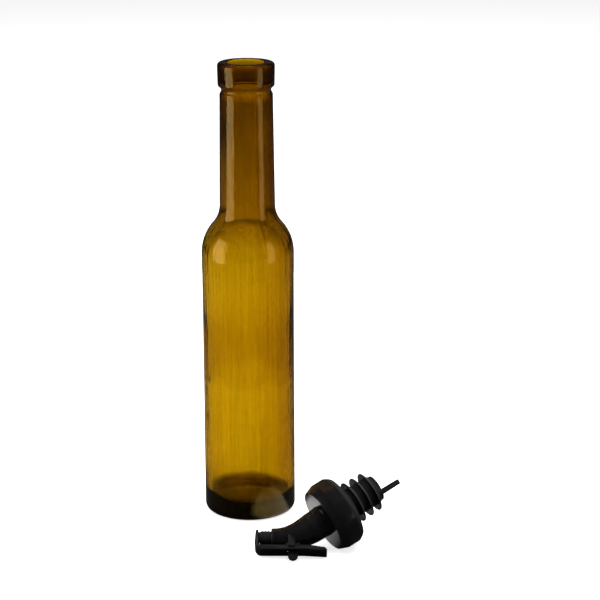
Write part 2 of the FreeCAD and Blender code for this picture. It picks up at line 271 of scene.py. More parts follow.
def piece(name, mesh, place, material, body, stands_for=(), crease=35, edge_reach=1.2):
    """A finished piece: its place is put into its mesh, and it rides on its body."""
    mesh.transform(place)
    mesh.name = name
    mesh.shade_smooth()
    mesh.set_sharp_from_angle(angle=math.radians(crease))
    mark_edges(mesh, edge_reach)
    mesh.materials.clear()
    mesh.materials.append(material)
    obj = new_object(name, mesh)
    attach(obj, body)
    if stands_for:
        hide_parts(*stands_for)
    return obj


# ---------------------------------------------------------------- geometry trees
BEAD_FACES, BEAD_SIZES = (8, 5), (0.75, 1.2)
COIL_STEPS, WIRE_STEPS = 24, 10


def new_tree(name, inputs):
    """Geometry tree with named inputs, each (name, socket type, value)."""
    tree = bpy.data.node_groups.new(name, "GeometryNodeTree")
    for label, kind, value in inputs:
        socket = tree.interface.new_socket(label, in_out="INPUT", socket_type=kind)
        if value is not None:
            socket.default_value = value
    tree.interface.new_socket("Geometry", in_out="OUTPUT", socket_type="NodeSocketGeometry")
    return tree, tree.nodes.new("NodeGroupInput"), tree.nodes.new("NodeGroupOutput")


def end_tree(tree, source, given, made):
    """Realize Instances, Set Material and the output."""
    realize = tree.nodes.new("GeometryNodeRealizeInstances")
    paint = tree.nodes.new("GeometryNodeSetMaterial")
    tree.links.new(source, realize.inputs[0])
    tree.links.new(realize.outputs[0], paint.inputs["Geometry"])
    tree.links.new(given.outputs["Material"], paint.inputs["Material"])
    tree.links.new(paint.outputs[0], made.inputs[0])


def grown(name, tree, values):
    """The mesh that a tree makes with these input values."""
    obj = new_object(name, bpy.data.meshes.new(name))
    modifier = obj.modifiers.new(name, "NODES")
    modifier.node_group = tree
    sockets = {s.name: s.identifier for s in tree.interface.items_tree if s.in_out == "INPUT"}
    for label, value in values.items():
        modifier[sockets[label]] = value
    return plain_mesh(obj)


def row_tree():
    """Copies of one ring set out along Z, each a little smaller than the last."""
    tree, given, made = new_tree("rings_in_a_row", [
        ("Ring", "NodeSocketObject", None), ("Count", "NodeSocketInt", 3),
        ("First", "NodeSocketFloat", 0.0), ("Spacing", "NodeSocketFloat", 1.0),
        ("Shrink", "NodeSocketFloat", 0.0), ("Material", "NodeSocketMaterial", None)])
    start = tree.nodes.new("ShaderNodeCombineXYZ")
    step = tree.nodes.new("ShaderNodeCombineXYZ")
    line = tree.nodes.new("GeometryNodeMeshLine")
    info = tree.nodes.new("GeometryNodeObjectInfo")
    number = tree.nodes.new("GeometryNodeInputIndex")
    less = tree.nodes.new("ShaderNodeMath")
    less.operation = "MULTIPLY"
    size = tree.nodes.new("ShaderNodeMath")
    size.operation = "SUBTRACT"
    size.inputs[0].default_value = 1.0
    spread = tree.nodes.new("ShaderNodeCombineXYZ")
    spread.inputs["Z"].default_value = 1.0
    copies = tree.nodes.new("GeometryNodeInstanceOnPoints")
    link = tree.links.new
    link(given.outputs["First"], start.inputs["Z"])
    link(given.outputs["Spacing"], step.inputs["Z"])
    link(given.outputs["Count"], line.inputs["Count"])
    link(start.outputs[0], line.inputs["Start Location"])
    link(step.outputs[0], line.inputs["Offset"])
    link(given.outputs["Ring"], info.inputs["Object"])
    link(number.outputs[0], less.inputs[0])
    link(given.outputs["Shrink"], less.inputs[1])
    link(less.outputs[0], size.inputs[1])
    link(size.outputs[0], spread.inputs["X"])
    link(size.outputs[0], spread.inputs["Y"])
    link(line.outputs[0], copies.inputs["Points"])
    link(info.outputs["Geometry"], copies.inputs["Instance"])
    link(spread.outputs[0], copies.inputs["Scale"])
    end_tree(tree, copies.outputs[0], given, made)
    return tree


def stipple_tree():
    """Small raised beads round a circle."""
    tree, given, made = new_tree("stipple_ring", [
        ("Radius", "NodeSocketFloat", 20.0), ("Height", "NodeSocketFloat", 1.0),
        ("Count", "NodeSocketInt", 60), ("Bead", "NodeSocketFloat", 0.4),
        ("Seed", "NodeSocketInt", 3), ("Material", "NodeSocketMaterial", None)])
    ring = tree.nodes.new("GeometryNodeCurvePrimitiveCircle")
    points = tree.nodes.new("GeometryNodeCurveToPoints")
    points.mode = "COUNT"
    bead = tree.nodes.new("GeometryNodeMeshUVSphere")
    bead.inputs["Segments"].default_value, bead.inputs["Rings"].default_value = BEAD_FACES
    vary = tree.nodes.new("FunctionNodeRandomValue")
    vary.data_type = "FLOAT"
    vary.inputs["Min"].default_value, vary.inputs["Max"].default_value = BEAD_SIZES
    copies = tree.nodes.new("GeometryNodeInstanceOnPoints")
    lift = tree.nodes.new("ShaderNodeCombineXYZ")
    place = tree.nodes.new("GeometryNodeTransform")
    link = tree.links.new
    link(given.outputs["Radius"], ring.inputs["Radius"])
    link(ring.outputs[0], points.inputs[0])
    link(given.outputs["Count"], points.inputs["Count"])
    link(given.outputs["Bead"], bead.inputs["Radius"])
    link(given.outputs["Seed"], vary.inputs["Seed"])
    link(points.outputs["Points"], copies.inputs["Points"])
    link(bead.outputs[0], copies.inputs["Instance"])
    link(points.outputs["Rotation"], copies.inputs["Rotation"])
    link(vary.outputs[1], copies.inputs["Scale"])
    link(given.outputs["Height"], lift.inputs["Z"])
    link(copies.outputs[0], place.inputs["Geometry"])
    link(lift.outputs[0], place.inputs["Translation"])
    end_tree(tree, place.outputs[0], given, made)
    return tree


def coil_tree():
    """Wire coil about Z with a straight leg at each end."""
    tree, given, made = new_tree("wire_coil", [
        ("Coil radius", "NodeSocketFloat", 1.0), ("Wire radius", "NodeSocketFloat", 0.1),
        ("Length", "NodeSocketFloat", 1.0), ("Turns", "NodeSocketFloat", 4.0),
        ("Leg", "NodeSocketFloat", 2.0), ("Material", "NodeSocketMaterial", None)])
    coil = tree.nodes.new("GeometryNodeCurveSpiral")
    coil.inputs["Resolution"].default_value = COIL_STEPS
    wire = tree.nodes.new("GeometryNodeCurvePrimitiveCircle")
    wire.inputs["Resolution"].default_value = WIRE_STEPS
    join = tree.nodes.new("GeometryNodeJoinGeometry")
    sweep = tree.nodes.new("GeometryNodeCurveToMesh")
    sweep.inputs["Fill Caps"].default_value = True
    link = tree.links.new
    for name in ("Start Radius", "End Radius"):
        link(given.outputs["Coil radius"], coil.inputs[name])
    link(given.outputs["Length"], coil.inputs["Height"])
    link(given.outputs["Turns"], coil.inputs["Rotations"])
    for height in (None, "Length"):
        leg = tree.nodes.new("GeometryNodeCurvePrimitiveLine")
        near = tree.nodes.new("ShaderNodeCombineXYZ")
        far = tree.nodes.new("ShaderNodeCombineXYZ")
        link(given.outputs["Coil radius"], near.inputs["X"])
        link(given.outputs["Coil radius"], far.inputs["X"])
        link(given.outputs["Leg"], far.inputs["Y"])
        if height:
            link(given.outputs[height], near.inputs["Z"])
            link(given.outputs[height], far.inputs["Z"])
        link(near.outputs[0], leg.inputs["Start"])
        link(far.outputs[0], leg.inputs["End"])
        link(leg.outputs[0], join.inputs[0])
    link(coil.outputs[0], join.inputs[0])
    link(join.outputs[0], sweep.inputs["Curve"])
    link(given.outputs["Wire radius"], wire.inputs["Radius"])
    link(wire.outputs[0], sweep.inputs["Profile Curve"])
    end_tree(tree, sweep.outputs[0], given, made)
    return tree


# ---------------------------------------------------------------- material groups
MOTTLE_SCALE, MOTTLE_SHARE, MOTTLE_HEIGHT = 60.0, 0.12, 0.3
HANDLED_SCALE = 220.0
SPECK_SCALE, SPECK_R, SPECK_FROM, SPECK_SHARE = 900.0, 0.07, 0.58, 0.35
EDGE_AND_DUST_ROUGH = 0.25
STREAK_STRETCH, STREAK_FROM, STREAK_CONTRAST = (1.0, 1.0, 0.025), 0.36, 3.5
RIPPLE_SCALE, HAZE_SCALE, HAZE_FROM = 55.0, 140.0, 0.35
STEEL_LINE_SCALE, STEEL_STAIN_SCALE, STAIN_ROUGH = 4000.0, 500.0, 0.2


def new_group(name, inputs, outputs):
    """Shader group with named inputs, each (name, socket type, value), and outputs."""
    group = bpy.data.node_groups.new(name, "ShaderNodeTree")
    for label, kind, value in inputs:
        socket = group.interface.new_socket(label, in_out="INPUT", socket_type=kind)
        socket.default_value = value
    for label, kind in outputs:
        group.interface.new_socket(label, in_out="OUTPUT", socket_type=kind)
    return group, group.nodes.new("NodeGroupInput"), group.nodes.new("NodeGroupOutput")


def shader_noise(group, vector, scale, detail=3.0):
    """Noise texture whose scale is a socket or a number."""
    node = group.nodes.new("ShaderNodeTexNoise")
    node.inputs["Detail"].default_value = detail
    group.links.new(vector, node.inputs["Vector"])
    if isinstance(scale, (int, float)):
        node.inputs["Scale"].default_value = scale
    else:
        group.links.new(scale, node.inputs["Scale"])
    return node.outputs["Fac"]


def shader_math(group, operation, first, second, clamp=False):
    """Math of two values, each a socket or a number."""
    node = group.nodes.new("ShaderNodeMath")
    node.operation = operation
    node.use_clamp = clamp
    for socket, value in zip(node.inputs, (first, second)):
        if isinstance(value, (int, float)):
            socket.default_value = value
        else:
            group.links.new(value, socket)
    return node.outputs[0]


def shader_mix(group, share, first, second):
    """Colour mix; the share is a socket or a number, and each colour a socket or four numbers."""
    node = group.nodes.new("ShaderNodeMix")
    node.data_type = "RGBA"
    for socket, value in zip((node.inputs["Factor"], node.inputs[6], node.inputs[7]), (share, first, second)):
        if isinstance(value, (float, tuple)):
            socket.default_value = value
        else:
            group.links.new(value, socket)
    return node.outputs[2]


def moulded_group():
    """Moulded plastic or rubber: mottled colour, pale outer edges that are partly wear and partly a painted
    edge highlight, pale dust specks, fine grain and handling marks.
    """
    number, colour, vector = "NodeSocketFloat", "NodeSocketColor", "NodeSocketVector"
    group, given, made = new_group("moulded_finish", [
        ("Vector", vector, (0, 0, 0)), ("Edge", number, 0.0),
        ("Colour", colour, WHITE), ("Worn colour", colour, WHITE),
        ("Grain scale", number, 2000.0), ("Grain depth", number, 0.5),
        ("Roughness", number, 0.3), ("Smudge", number, 0.15), ("Wear", number, 0.3),
    ], [("Color", colour), ("Roughness", number), ("Height", number)])
    place = given.outputs["Vector"]
    broad = shader_noise(group, place, MOTTLE_SCALE)
    handled = shader_noise(group, place, HANDLED_SCALE, 5.0)
    grain = shader_noise(group, place, given.outputs["Grain scale"], 2.0)
    specks = group.nodes.new("ShaderNodeTexVoronoi")
    specks.inputs["Scale"].default_value = SPECK_SCALE
    group.links.new(place, specks.inputs["Vector"])
    dust = shader_math(group, "LESS_THAN", specks.outputs["Distance"], SPECK_R)
    dust = shader_math(group, "MULTIPLY", dust, shader_math(group, "GREATER_THAN", handled, SPECK_FROM))
    # Outer edges lighten towards the pale colour: partly wear, partly a painted highlight along the edges.
    edge_highlight_and_wear = shader_math(group, "MULTIPLY", given.outputs["Edge"], given.outputs["Wear"])
    edge_highlight_and_wear = shader_math(group, "MULTIPLY", edge_highlight_and_wear, shader_math(group, "ADD", handled, 0.5), clamp=True)
    share = shader_math(group, "MAXIMUM", edge_highlight_and_wear, shader_math(group, "MULTIPLY", dust, SPECK_SHARE))
    tone = shader_mix(group, broad, given.outputs["Colour"], given.outputs["Worn colour"])
    mottled = shader_mix(group, MOTTLE_SHARE, given.outputs["Colour"], tone)
    final = shader_mix(group, share, mottled, given.outputs["Worn colour"])
    swing = shader_math(group, "MULTIPLY", shader_math(group, "SUBTRACT", handled, 0.5),
                        given.outputs["Smudge"])
    rough = shader_math(group, "ADD", given.outputs["Roughness"], swing)
    rough = shader_math(group, "ADD", rough, shader_math(group, "MULTIPLY", share, EDGE_AND_DUST_ROUGH),
                        clamp=True)
    height = shader_math(group, "MULTIPLY", grain, given.outputs["Grain depth"])
    height = shader_math(group, "ADD", height, shader_math(group, "MULTIPLY", broad, MOTTLE_HEIGHT))
    group.links.new(final, made.inputs["Color"])
    group.links.new(rough, made.inputs["Roughness"])
    group.links.new(height, made.inputs["Height"])
    return group


def glass_group():
    """Drawn glass: upright streaks in tint and relief, a slow ripple and a little haze."""
    number, colour, vector = "NodeSocketFloat", "NodeSocketColor", "NodeSocketVector"
    group, given, made = new_group("drawn_glass_finish", [
        ("Vector", vector, (0, 0, 0)), ("Tint", colour, WHITE), ("Streak tint", colour, WHITE),
        ("Streak scale", number, 260.0), ("Streak depth", number, 0.6), ("Haze", number, 0.02),
    ], [("Color", colour), ("Roughness", number), ("Height", number)])
    squeeze = group.nodes.new("ShaderNodeMapping")
    squeeze.inputs["Scale"].default_value = STREAK_STRETCH
    group.links.new(given.outputs["Vector"], squeeze.inputs["Vector"])
    streaks = shader_noise(group, squeeze.outputs[0], given.outputs["Streak scale"], 2.0)
    ripple = shader_noise(group, given.outputs["Vector"], RIPPLE_SCALE, 1.0)
    cloud = shader_noise(group, given.outputs["Vector"], HAZE_SCALE, 4.0)
    height = shader_math(group, "MULTIPLY", streaks, given.outputs["Streak depth"])
    height = shader_math(group, "ADD", height, ripple)
    rough = shader_math(group, "MULTIPLY", shader_math(group, "SUBTRACT", cloud, HAZE_FROM, clamp=True),
                        given.outputs["Haze"])
    contrast = shader_math(group, "SUBTRACT", streaks, STREAK_FROM)
    contrast = shader_math(group, "MULTIPLY", contrast, STREAK_CONTRAST, clamp=True)
    colour_out = shader_mix(group, contrast, given.outputs["Tint"], given.outputs["Streak tint"])
    group.links.new(colour_out, made.inputs["Color"])
    group.links.new(rough, made.inputs["Roughness"])
    group.links.new(height, made.inputs["Height"])
    return group


def metal_group():
    """Drawn steel: bright, with fine lines and a slight tarnish."""
    number, colour, vector = "NodeSocketFloat", "NodeSocketColor", "NodeSocketVector"
    group, given, made = new_group("drawn_steel_finish", [
        ("Vector", vector, (0, 0, 0)), ("Bright", colour, WHITE), ("Tarnish", colour, WHITE),
        ("Roughness", number, 0.25),
    ], [("Color", colour), ("Roughness", number), ("Height", number)])
    lines = shader_noise(group, given.outputs["Vector"], STEEL_LINE_SCALE, 2.0)
    stain = shader_noise(group, given.outputs["Vector"], STEEL_STAIN_SCALE, 4.0)
    group.links.new(shader_mix(group, stain, given.outputs["Bright"], given.outputs["Tarnish"]),
                    made.inputs["Color"])
    rough = shader_math(group, "ADD", given.outputs["Roughness"],
                        shader_math(group, "MULTIPLY", stain, STAIN_ROUGH), clamp=True)
    group.links.new(rough, made.inputs["Roughness"])
    group.links.new(lines, made.inputs["Height"])
    return group


def finish_material(name, group, values, bump, shader_values, edges=False):
    """Material of one finish group on Object coordinates, with plain values on the shader's own sockets.

    bump is the relief's strength and its depth in metres.
    """
    material = bpy.data.materials.new(name)
    material.use_nodes = True
    nodes, links = material.node_tree.nodes, material.node_tree.links
    shader = nodes["Principled BSDF"]
    where = nodes.new("ShaderNodeTexCoord")
    finish = nodes.new("ShaderNodeGroup")
    finish.node_tree = group
    links.new(where.outputs["Object"], finish.inputs["Vector"])
    for label, value in values.items():
        finish.inputs[label].default_value = value
    if edges:
        edge = nodes.new("ShaderNodeAttribute")
        edge.attribute_name = "edge"
        links.new(edge.outputs["Fac"], finish.inputs["Edge"])
    relief = nodes.new("ShaderNodeBump")
    relief.inputs["Strength"].default_value, relief.inputs["Distance"].default_value = bump
    links.new(finish.outputs["Color"], shader.inputs["Base Color"])
    links.new(finish.outputs["Roughness"], shader.inputs["Roughness"])
    links.new(finish.outputs["Height"], relief.inputs["Height"])
    links.new(relief.outputs[0], shader.inputs["Normal"])
    for label, value in shader_values.items():
        shader.inputs[label].default_value = value
    return material


MOULDED, DRAWN_GLASS, DRAWN_STEEL = moulded_group(), glass_group(), metal_group()
AMBER_COLOUR, AMBER_DENSITY = (0.862, 0.802, 0.0, 1.0), 1350.0


def amber_material():
    """Clear glass that takes its amber colour from its thickness."""
    material = finish_material("amber bottle glass", DRAWN_GLASS, {
        "Tint": (1.0, 0.88, 0.6, 1.0), "Streak tint": (0.84, 0.72, 0.45, 1.0),
        "Streak scale": 620.0, "Streak depth": 0.7, "Haze": 0.015,
    }, (0.45, 0.0004), {
        "Transmission Weight": 1.0, "IOR": 1.5, "Metallic": 0.0, "Specular Tint": (1.0, 0.66, 0.16, 1.0)})
    tree = material.node_tree
    depth = tree.nodes.new("ShaderNodeVolumeAbsorption")
    depth.inputs["Color"].default_value = AMBER_COLOUR
    depth.inputs["Density"].default_value = AMBER_DENSITY
    tree.links.new(depth.outputs[0], tree.nodes["Material Output"].inputs["Volume"])
    return material


AMBER = amber_material()
# In these plastics and the rubber, the pale edge colour is partly wear and partly a painted edge highlight,
# such as the light line at the collar's seam and the grey edges of the fins.
GLOSS_BLACK = finish_material("glossy black plastic", MOULDED, {
    "Colour": (0.003, 0.0027, 0.003, 1.0), "Worn colour": (0.03, 0.03, 0.032, 1.0),
    "Grain scale": 1500.0, "Grain depth": 0.3, "Roughness": 0.16, "Smudge": 0.14, "Wear": 0.35,
}, (0.12, 0.0002), {
    "IOR": 1.5, "Specular IOR Level": 0.18, "Coat Weight": 0.08, "Coat Roughness": 0.05}, edges=True)
SATIN_BLACK = finish_material("satin black plastic", MOULDED, {
    "Colour": (0.004, 0.0037, 0.0042, 1.0), "Worn colour": (0.045, 0.044, 0.048, 1.0),
    "Grain scale": 2600.0, "Grain depth": 0.7, "Roughness": 0.38, "Smudge": 0.12, "Wear": 0.3,
}, (0.2, 0.0002), {"IOR": 1.5, "Specular IOR Level": 0.28}, edges=True)
SOFT_BLACK = finish_material("soft black rubber", MOULDED, {
    "Colour": (0.003, 0.0028, 0.0032, 1.0), "Worn colour": (0.09, 0.088, 0.094, 1.0),
    "Grain scale": 3400.0, "Grain depth": 1.0, "Roughness": 0.55, "Smudge": 0.1, "Wear": 0.6,
}, (0.3, 0.0002), {
    "IOR": 1.45, "Specular IOR Level": 0.2, "Sheen Weight": 0.01, "Sheen Roughness": 0.4}, edges=True)
STEEL = finish_material("drawn steel", DRAWN_STEEL, {
    "Bright": (0.62, 0.61, 0.6, 1.0), "Tarnish": (0.42, 0.4, 0.38, 1.0), "Roughness": 0.2,
}, (0.1, 0.0001), {"Metallic": 1.0})


# ---------------------------------------------------------------- bottle
NECK_LOW_R, NECK_TOP_R, LIP_R, LIP_LOW_R = 14.65, 13.85, 14.93, 14.7
LIP_LOW = HEIGHT - 12.5
SHOULDER_START, SHOULDER_R, COVE_R = 144.0, 24.0, 15.0
BODY_WALL, NECK_IN_R, BORE_R = 2.6, 10.6, 9.25
BASE_THICK, INNER_HEEL_R, INNER_DOME = 6.5, 7.0, 1.2
PUNT_DEPTH, BEARING_IN_R, BEARING_MID_R, HEEL_R = 2.6, 16.5, 18.9, 3.2
PANEL_LOW, PANEL_HIGH, PANEL_STEP, PANEL_DEPTH = 57.0, 132.0, 3.0, 0.12
WAVE_LOW, WAVE_HIGH, WAVE_DEPTH = 78.0, 101.0, 0.6
WAVE_EDGE, WAVE_WANDER, WAVE_RUN_IN, WAVE_RUN_OUT = 1.0, 5.0, 5.0, 16.0
OFF_CENTRE, UPRIGHT_WAVE, FINE_WAVE = 0.45, 0.22, 0.07
STRAY_LOW, STRAY_FULL, STRAY_FADES, STRAY_IN_R = 12.0, 30.0, HEIGHT - 50.0, 4.0
GLASS_STEPS, WALL_STEPS, PANEL_STEPS, HEEL_STEPS, NECK_STEPS = 256, 70, 34, 22, 20
SHOULDER_STEPS, COVE_STEPS, PUNT_STEPS = 14, 12, 8
SEAM_ANGLE, SEAM_HEIGHT, SEAM_WIDTH = math.radians(-64.0), 0.1, 0.03
SEAM_TOP, NECK_TOP, LIP_FULL = LIP_LOW - 6.0, LIP_LOW - 4.0, HEIGHT - 4.0
MOUTH_EDGE_R, BORE_EDGE_R, BORE_LOW, TRUE_BORE_LOW = 1.8, 0.9, HEIGHT - 20.0, HEIGHT - 26.0
NECK_GROOVE = ((-3.3, -0.35), (-2.6, -0.75), (-1.9, -0.9), (-1.1, -0.7), (-0.4, -0.1), (-0.1, 0.35))
STIPPLE_R, STIPPLE_Z, STIPPLE_COUNT, STIPPLE_BEAD = 24.22, 13.6, 70, 0.24


def shoulder_outline(neck_r, body_r, cove_r, shoulder_r, start):
    """Points (z, r) from the body's top, over the shoulder and into the neck."""
    turn = math.acos(1 - (body_r - neck_r) / (cove_r + shoulder_r))
    top = start + (cove_r + shoulder_r) * math.sin(turn)
    out = []
    for i in range(SHOULDER_STEPS + 1):
        a = turn * i / SHOULDER_STEPS
        out.append((start + shoulder_r * math.sin(a), body_r - shoulder_r * (1 - math.cos(a))))
    for i in range(1, COVE_STEPS + 1):
        a = turn * (1 - i / COVE_STEPS)
        out.append((top - cove_r * math.sin(a), neck_r + cove_r * (1 - math.cos(a))))
    return out


def bottle_outline():
    """Points (z, r) of the outside up to the mouth, then of the inside down to the floor.

    Also how many of them are the outside's.
    """
    shares = [i / PUNT_STEPS for i in range(PUNT_STEPS + 1)]
    out = [(PUNT_DEPTH * (1 - share ** 2), BEARING_IN_R * share) for share in shares]
    out += [(0.0, BEARING_MID_R)]
    out += [(z, r) for r, z in arc(BODY_R - HEEL_R, HEEL_R, HEEL_R, -90, 0, 8)]
    panel_r = BODY_R - PANEL_DEPTH
    out += run((HEEL_R, BODY_R), (PANEL_LOW - PANEL_STEP, BODY_R), HEEL_STEPS)
    out += run((PANEL_LOW - PANEL_STEP, BODY_R), (PANEL_LOW, panel_r), 3)
    out += run((PANEL_LOW, panel_r), (PANEL_HIGH, panel_r), PANEL_STEPS)
    out += run((PANEL_HIGH, panel_r), (PANEL_HIGH + PANEL_STEP, BODY_R), 3)
    out += run((PANEL_HIGH + PANEL_STEP, BODY_R), (SHOULDER_START, BODY_R), 4)
    out += shoulder_outline(NECK_LOW_R, BODY_R, COVE_R, SHOULDER_R, SHOULDER_START)[1:]
    out += run(out[-1], (NECK_TOP, NECK_TOP_R), NECK_STEPS)
    out += [(LIP_LOW + z, NECK_TOP_R + r) for z, r in NECK_GROOVE]
    out += [(LIP_LOW + 0.25, LIP_LOW_R - 0.1), (LIP_LOW + 0.7, LIP_LOW_R + 0.05)]
    out += run(out[-1], (LIP_FULL, LIP_R), 4)
    out += [(z, r) for r, z in arc(LIP_R - MOUTH_EDGE_R, HEIGHT - MOUTH_EDGE_R, MOUTH_EDGE_R, 0, 90, 8)]
    out += [(z, r) for r, z in arc(BORE_R + BORE_EDGE_R, HEIGHT - BORE_EDGE_R, BORE_EDGE_R, 90, 180, 6)]
    outside = len(out)
    out += run(out[-1], (BORE_LOW, BORE_R), 6)
    inner_r = BODY_R - BODY_WALL
    inside_shoulder = shoulder_outline(
        NECK_IN_R, inner_r, COVE_R + BODY_WALL, SHOULDER_R - BODY_WALL, SHOULDER_START - 1.0)[::-1]
    out += run(out[-1], inside_shoulder[0], NECK_STEPS)
    out += inside_shoulder[1:]
    out += run(out[-1], (BASE_THICK + INNER_HEEL_R, inner_r), WALL_STEPS)
    out += [(z, r) for r, z in arc(inner_r - INNER_HEEL_R, BASE_THICK + INNER_HEEL_R,
                                   INNER_HEEL_R, 0, -90, 12)][1:]
    flat_r = inner_r - INNER_HEEL_R
    out += [(BASE_THICK + INNER_DOME * (1 - share ** 2), flat_r * share) for share in shares[-2::-1]]
    return out, outside


def smooth_step(value, low, high):
    """0 up to low, 1 from high, and a smooth rise between."""
    t = max(0.0, min(1.0, (value - low) / (high - low)))
    return t * t * (3 - 2 * t)


def wall_shift(outside):
    """How blown glass strays from a true turning: a wavy inside, a thick settle wave and two mould seams."""
    def shift(a, z, r, index):
        if index < outside:
            if not HEEL_R < z < SEAM_TOP:
                return 0.0
            seam = 0.0
            for turn in (0.0, math.pi):
                away = (a - SEAM_ANGLE - turn + math.pi) % (2 * math.pi) - math.pi
                seam += math.exp(-(away / SEAM_WIDTH) ** 2)
            return min(SEAM_HEIGHT, BODY_R - r) * min(1.0, seam)
        if z > TRUE_BORE_LOW or r < STRAY_IN_R:
            return 0.0
        fade = smooth_step(z, STRAY_LOW, STRAY_FULL) * (1 - smooth_step(z, STRAY_FADES, TRUE_BORE_LOW))
        upright = noise.noise(Vector((2.6 * math.cos(a), 2.6 * math.sin(a), z * 0.012)))
        fine = noise.noise(Vector((9.0 * math.cos(a), 9.0 * math.sin(a), z * 0.02 + 7.0)))
        edge = WAVE_LOW + WAVE_WANDER * noise.noise(Vector((2.2 * math.cos(a), 2.2 * math.sin(a), 3.0)))
        wave = smooth_step(z, edge - WAVE_RUN_IN, edge + WAVE_EDGE)
        wave *= 1 - smooth_step(z, WAVE_HIGH - 2 * WAVE_EDGE, WAVE_HIGH + WAVE_RUN_OUT)
        stray = UPRIGHT_WAVE * upright + FINE_WAVE * fine - OFF_CENTRE * math.cos(a)
        return fade * stray - WAVE_DEPTH * wave
    return shift


def make_bottle():
    """The glass, and the ring of small beads above its heel."""
    outline, outside = bottle_outline()
    glass = turned("bottle_glass", outline, GLASS_STEPS, closed=False, shift=wall_shift(outside))
    piece("bottle_glass", glass, ON_BOTTLE, AMBER, "bottle", ["bottle"], crease=60)
    beads = grown("bottle_heel_stipple", stipple_tree(), {
        "Radius": STIPPLE_R, "Height": STIPPLE_Z, "Count": STIPPLE_COUNT, "Bead": STIPPLE_BEAD,
        "Material": AMBER})
    piece("bottle_heel_stipple", beads, ON_BOTTLE, AMBER, "bottle", crease=60)


make_bottle()


# ---------------------------------------------------------------- pourer
STEM_R, STEM_BORE_R, STEM_END = 6.5, 5.4, 32.2
COLLAR_WALL = 1.8
NOZZLE_L, BEND_R, ROOT_R, SPOUT_WALL = 9.7, 30.0, 8.2, 1.6
SLEEVE_R, SLEEVE_BORE_R, SLEEVE_END = 4.95, 3.2, 26.5
BAND_LOW, BAND_HIGH, BAND_PROUD = 14.0, 17.8, 0.45
EAR_IN, EAR_OUT, EAR_END, EAR_EDGE = 5.0, 5.8, 16.6, 0.18
LUG_HALF, LUG_R, LUG_TIP_L, LUG_ROOT_L, LUG_EDGE = 1.2, 2.6, 19.6, NOZZLE_L + 4.0, 0.3
FOOT_LOW, FOOT_HIGH, FOOT_HALF, FOOT_L, FOOT_EDGE = 11.9, 18.9, 3.3, 15.0, 0.15
PIVOT_N, PIVOT_L = 15.3, 16.65
TIP_R, RIB_R, TIP_BORE_R, TIP_END = 3.4, 3.72, 2.2, 32.5
SPIGOT_LOW, SPIGOT_R = SLEEVE_END - 5.0, SLEEVE_BORE_R - 0.05
RIB_FIRST, RIB_SPACING, RIB_LENGTH, RIB_COUNT, RIB_SHRINK = 27.7, 1.5, 0.7, 3, 0.004
SPOUT_TAPER = ((0.0, ROOT_R - 0.3), (0.25, 7.3), (0.5, 6.45), (0.75, 5.6), (1.0, 5.05))
ROOT_RING = ((1.2, 0.1), (0.1, 0.35), (-0.25, 0.1), (-0.7, 0.0), (-2.5, -0.1))
TUBE_STEPS, COLLAR_STEPS = 72, 144
NOZZLE_TO_STOPPER = ON_STOPPER.inverted() @ ON_NOZZLE


def spout_stations():
    """The spout's sections in the stopper's axes: centre, direction angle, outer and inner radius."""
    tangent = BEND_R * math.tan(BEND / 2)
    corner_n = NOZZLE_L / math.tan(BEND)
    start_w = -corner_n * math.cos(BEND) - NOZZLE_L * math.sin(BEND) + tangent
    end_n = corner_n + tangent
    stations = [(Vector((0, 0, w)), 0.0, ROOT_R + proud) for w, proud in ROOT_RING]
    for (low, low_r), (high, high_r) in zip(SPOUT_TAPER, SPOUT_TAPER[1:]):
        for i in range(6):
            share = low + (high - low) * i / 6
            a = BEND * share
            centre = Vector((-BEND_R * (1 - math.cos(a)), 0, start_w - BEND_R * math.sin(a)))
            stations.append((centre, a, low_r + (high_r - low_r) * i / 6))
    for n, radius in ((end_n, SPOUT_TAPER[-1][1]), (end_n + 2.0, SLEEVE_R + 0.02),
                      (SLEEVE_END - 0.35, SLEEVE_R), (SLEEVE_END, SLEEVE_R - 0.35)):
        stations.append((NOZZLE_TO_STOPPER @ Vector((NOZZLE_L, 0, n)), BEND, radius))
    out = []
    for centre, angle, radius in stations:
        near_mouth = len(out) >= len(stations) - 3
        inner = SLEEVE_BORE_R if near_mouth else min(radius - SPOUT_WALL, STEM_BORE_R)
        out.append((centre, angle, radius, max(inner, SLEEVE_BORE_R)))
    return out


